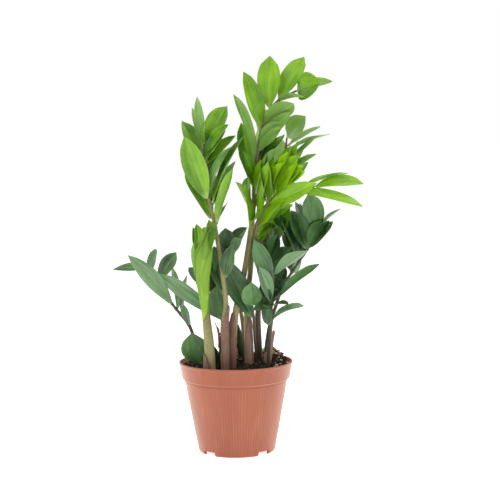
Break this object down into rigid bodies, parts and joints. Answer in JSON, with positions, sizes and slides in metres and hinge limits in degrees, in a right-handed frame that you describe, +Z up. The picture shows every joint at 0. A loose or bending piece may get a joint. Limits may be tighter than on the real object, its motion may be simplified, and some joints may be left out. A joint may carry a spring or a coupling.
{
  "type": "potted zz plant",
  "caption": "Young ZZ plant with upright leafy stems, papery sheaths and a furled shoot, growing in soil in a tapered terracotta-coloured plastic nursery pot.",
  "frame": {"origin": "centre of the pot's flat underside, on the surface that it stands on", "axes": "+Z up along the pot's axis, -Y towards the front of the plant, +X to its right"},
  "size_m": [0.2642, 0.12, 0.413],
  "materials": {
    "terracotta_plastic": "satin, faintly ribbed",
    "potting_soil": "rough, crumbly",
    "bright_leaf": "waxy, light green",
    "dark_leaf": "waxy, dark green",
    "young_leaf": "waxy, yellow-green",
    "green_stem": "smooth, fleshy",
    "brown_stem": "matte, woody",
    "papery_sheath": "matte, dry"
  },
  "bodies": {
    "root": {"pot": "terracotta_plastic", "soil": "potting_soil", "dark_stem": "brown_stem", "dried_sheath": "papery_sheath", "ground_leaflet": "dark_leaf", "left_stem": "green_stem", "left_stem_leaflet_1": "bright_leaf", "left_stem_leaflet_2": "bright_leaf", "left_stem_leaflet_3": "bright_leaf", "left_stem_leaflet_4": "bright_leaf", "left_stem_leaflet_5": "bright_leaf", "left_stem_sheath": "papery_sheath", "low_stem": "brown_stem", "low_stem_leaflet_1": "dark_leaf", "low_stem_leaflet_2": "dark_leaf", "low_stem_leaflet_3": "dark_leaf", "old_stem": "brown_stem", "old_stem_leaflet_1": "dark_leaf", "old_stem_leaflet_2": "dark_leaf", "old_stem_leaflet_3": "dark_leaf", "old_stem_leaflet_4": "dark_leaf", "old_stem_sheath": "papery_sheath", "pale_stem": "brown_stem", "pale_stem_leaflet_1": "dark_leaf", "pale_stem_leaflet_2": "dark_leaf", "pale_stem_leaflet_3": "dark_leaf", "rear_stem": "green_stem", "rear_stem_leaflet_1": "bright_leaf", "rear_stem_leaflet_2": "bright_leaf", "rear_stem_leaflet_3": "bright_leaf", "right_stem": "green_stem", "right_stem_leaflet_1": "bright_leaf", "right_stem_leaflet_2": "bright_leaf", "right_stem_leaflet_3": "bright_leaf", "right_stem_leaflet_4": "bright_leaf", "right_stem_leaflet_5": "bright_leaf", "right_stem_leaflet_6": "bright_leaf", "right_stem_leaflet_7": "bright_leaf", "right_stem_sheath": "papery_sheath", "short_stem": "brown_stem", "short_stem_leaflet_1": "dark_leaf", "short_stem_leaflet_2": "dark_leaf", "short_stem_leaflet_3": "dark_leaf", "tall_stem": "green_stem", "tall_stem_leaflet_1": "bright_leaf", "tall_stem_leaflet_2": "bright_leaf", "tall_stem_leaflet_3": "bright_leaf", "tall_stem_leaflet_4": "bright_leaf", "tall_stem_leaflet_5": "bright_leaf", "tall_stem_leaflet_6": "bright_leaf", "tall_stem_leaflet_7": "bright_leaf", "tall_stem_leaflet_8": "bright_leaf", "tall_stem_leaflet_9": "bright_leaf", "tall_stem_sheath": "papery_sheath", "thin_stem": "brown_stem", "thin_stem_leaflet_1": "dark_leaf", "thin_stem_leaflet_2": "dark_leaf", "young_shoot_petiole": "green_stem", "young_shoot_sheath": "papery_sheath", "young_shoot_spear": "young_leaf"}
  },
  "joints": []
}
